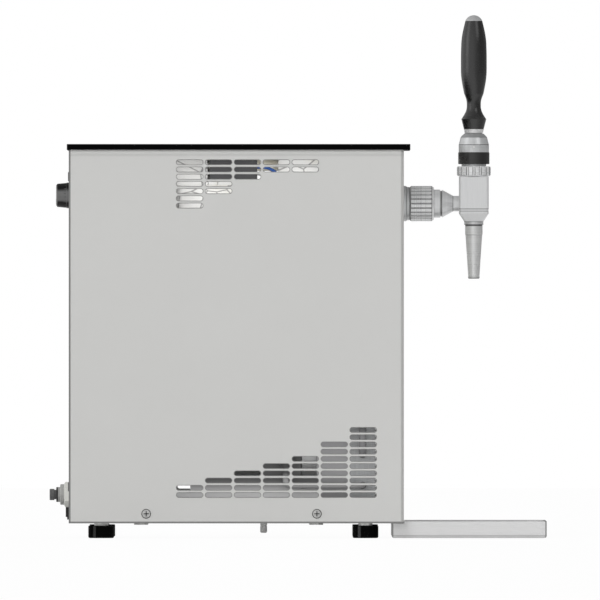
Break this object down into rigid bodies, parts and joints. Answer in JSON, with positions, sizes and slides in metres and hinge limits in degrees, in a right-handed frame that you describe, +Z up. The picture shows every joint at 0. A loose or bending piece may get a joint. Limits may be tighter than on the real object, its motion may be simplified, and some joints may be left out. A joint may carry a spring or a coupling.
{
  "type": "nitro cold brew dispenser",
  "caption": "Counter-top cooler for nitro cold brew: vented sheet casing on rubber feet, side-shank tap with tilting handle and long nozzle, pull-out drip tray.",
  "frame": {"origin": "centre of the overall box, on the counter under the feet", "axes": "+X towards the tap and the drip tray, +Z up, the side seen in the picture faces -Y"},
  "size_m": [0.482, 0.2188, 0.5076],
  "materials": {
    "casing_wrap": "satin",
    "rear_panel": "satin",
    "base_pan": "satin",
    "top_lid": "semi-gloss",
    "casing_screws": "satin",
    "rubber_feet": "matte",
    "foot_studs": "satin",
    "drain_spout": "matte",
    "compressor": "satin",
    "relay_cover": "matte",
    "compressor_grommets": "matte",
    "compressor_bolts": "zinc plated",
    "suction_line": "copper",
    "discharge_line": "copper",
    "condenser_fins": "bare",
    "condenser_tube": "copper",
    "fan_shroud": "satin",
    "fan_motor": "satin",
    "fan_blades": "matte",
    "filter_drier": "copper",
    "insulation_base": "foam",
    "insulation_cap": "foam",
    "cooling_block": "bare",
    "product_coil": "bare",
    "evaporator_coil": "copper",
    "cooler_shelf": "zinc plated",
    "thermostat": "matte",
    "thermostat_knob": "matte",
    "control_box": "matte",
    "blue_wire": "cable jacket",
    "brown_wire": "cable jacket",
    "inlet_hose": "tube",
    "outlet_hose": "foam sleeve",
    "inlet_nut": "matte",
    "inlet_body": "matte",
    "inlet_retainer": "matte",
    "inlet_collet": "matte",
    "power_inlet": "matte",
    "power_pins": "plated",
    "shank": "satin",
    "shank_backnut": "satin",
    "wall_washer": "satin",
    "coupling_nut": "satin",
    "tap_tail": "satin",
    "tap_body": "satin",
    "collar_nut": "satin",
    "bonnet": "satin",
    "bonnet_ring": "matte",
    "stem_gland": "matte",
    "valve_piston": "satin",
    "piston_seals": "matte",
    "pivot_pin": "satin",
    "lever_rod": "satin",
    "ferrule": "satin",
    "grip": "satin",
    "end_cap": "satin",
    "restrictor_disc": "satin",
    "nozzle": "satin",
    "drip_tray": "satin",
    "drip_grate": "satin"
  },
  "bodies": {
    "root": {"casing_wrap": "casing_wrap", "rear_panel": "rear_panel", "base_pan": "base_pan", "top_lid": "top_lid", "casing_screws": "casing_screws", "rubber_feet": "rubber_feet", "foot_studs": "foot_studs", "drain_spout": "drain_spout", "compressor": "compressor", "relay_cover": "relay_cover", "compressor_grommets": "compressor_grommets", "compressor_bolts": "compressor_bolts", "suction_line": "suction_line", "discharge_line": "discharge_line", "condenser_fins": "condenser_fins", "condenser_tube": "condenser_tube", "fan_shroud": "fan_shroud", "fan_motor": "fan_motor", "filter_drier": "filter_drier", "insulation_base": "insulation_base", "insulation_cap": "insulation_cap", "cooling_block": "cooling_block", "product_coil": "product_coil", "evaporator_coil": "evaporator_coil", "cooler_shelf": "cooler_shelf", "thermostat": "thermostat", "control_box": "control_box", "blue_wire": "blue_wire", "brown_wire": "brown_wire", "inlet_hose": "inlet_hose", "outlet_hose": "outlet_hose", "inlet_nut": "inlet_nut", "inlet_body": "inlet_body", "inlet_retainer": "inlet_retainer", "power_inlet": "power_inlet", "power_pins": "power_pins", "shank": "shank", "shank_backnut": "shank_backnut", "wall_washer": "wall_washer", "coupling_nut": "coupling_nut", "tap_tail": "tap_tail", "tap_body": "tap_body", "collar_nut": "collar_nut", "bonnet": "bonnet", "bonnet_ring": "bonnet_ring", "stem_gland": "stem_gland", "pivot_pin": "pivot_pin", "restrictor_disc": "restrictor_disc", "nozzle": "nozzle"},
    "tap_lever": {"lever_rod": "lever_rod", "ferrule": "ferrule", "grip": "grip", "end_cap": "end_cap"},
    "valve": {"valve_piston": "valve_piston", "piston_seals": "piston_seals"},
    "knob": {"thermostat_knob": "thermostat_knob"},
    "fan": {"fan_blades": "fan_blades"},
    "collet": {"inlet_collet": "inlet_collet"},
    "tray": {"drip_tray": "drip_tray"},
    "grate": {"drip_grate": "drip_grate"}
  },
  "joints": [
    {"name": "lever_tilt", "type": "hinge", "parent": "root", "child": "tap_lever", "pos_m": [0.17087, 0, 0.3796], "axis": [0, 1, 0], "range_deg": [-12, 22]},
    {"name": "valve_lift", "type": "slide", "parent": "root", "child": "valve", "axis": [0, 0, 1], "range_m": [-0.0018, 0.0032]},
    {"name": "knob_turn", "type": "hinge", "parent": "root", "child": "knob", "pos_m": [-0.22203, 0, 0.3324], "axis": [-1, 0, 0], "range_deg": [0, 270]},
    {"name": "fan_spin", "type": "hinge", "parent": "root", "child": "fan", "pos_m": [0.01593, 0, 0.111], "axis": [1, 0, 0], "continuous": true},
    {"name": "collet_push", "type": "slide", "parent": "root", "child": "collet", "axis": [1, 0, 0], "range_m": [0, 0.0015]},
    {"name": "tray_slide", "type": "slide", "parent": "root", "child": "tray", "axis": [1, 0, 0], "range_m": [0, 0.12]},
    {"name": "grate_lift", "type": "slide", "parent": "tray", "child": "grate", "axis": [0, 0, 1], "range_m": [0, 0.03]}
  ],
  "couplings": [
    {"joint": "valve_lift", "follows": "lever_tilt", "m_per_rad": 0.0074}
  ]
}
